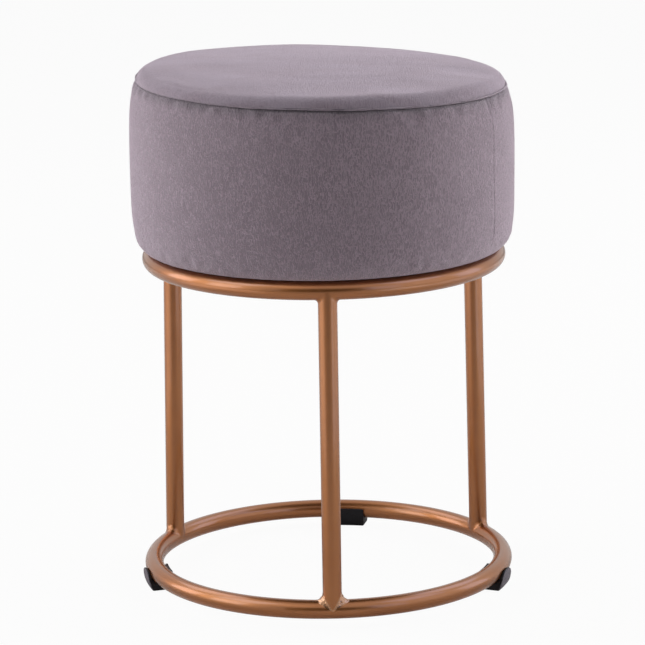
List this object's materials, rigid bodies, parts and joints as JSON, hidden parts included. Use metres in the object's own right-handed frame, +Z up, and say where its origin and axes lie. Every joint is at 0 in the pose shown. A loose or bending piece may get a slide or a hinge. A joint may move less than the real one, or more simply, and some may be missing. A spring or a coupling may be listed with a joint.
{
  "type": "vanity stool",
  "caption": "Round vanity stool: a velvet-covered foam drum seat on a frame of round tube, an upper and a lower ring joined by upright legs, standing on black saddle feet.",
  "frame": {"origin": "on the floor, on the common axis of the two rings", "axes": "+Z up, -Y towards the front leg, +X to the right as seen from the front"},
  "size_m": [0.3286, 0.3286, 0.4513],
  "materials": {
    "copper_frame": "satin copper lacquer on steel",
    "zinc_fixings": "bright zinc plate",
    "velvet": "short pile velvet, mauve grey",
    "black_plastic": "moulded, satin",
    "dust_fleece": "non-woven sheet",
    "plywood": "raw",
    "foam": "open cell foam"
  },
  "bodies": {
    "root": {"bottom_ring": "copper_frame", "top_ring": "copper_frame", "leg_front": "copper_frame", "leg_right": "copper_frame", "leg_left": "copper_frame", "weld_bottom_front": "copper_frame", "weld_bottom_right": "copper_frame", "weld_bottom_left": "copper_frame", "weld_top_front": "copper_frame", "weld_top_right": "copper_frame", "weld_top_left": "copper_frame", "lug_back": "copper_frame", "lug_left": "copper_frame", "lug_right": "copper_frame", "washer_back": "zinc_fixings", "washer_left": "zinc_fixings", "washer_right": "zinc_fixings", "screw_back": "zinc_fixings", "screw_left": "zinc_fixings", "screw_right": "zinc_fixings", "t_nut_back": "zinc_fixings", "t_nut_left": "zinc_fixings", "t_nut_right": "zinc_fixings", "side_band": "velvet", "top_panel": "velvet", "foot_back": "black_plastic", "foot_left": "black_plastic", "foot_right": "black_plastic", "dust_cover": "dust_fleece", "seat_board": "plywood", "foam_core": "foam"}
  },
  "joints": []
}
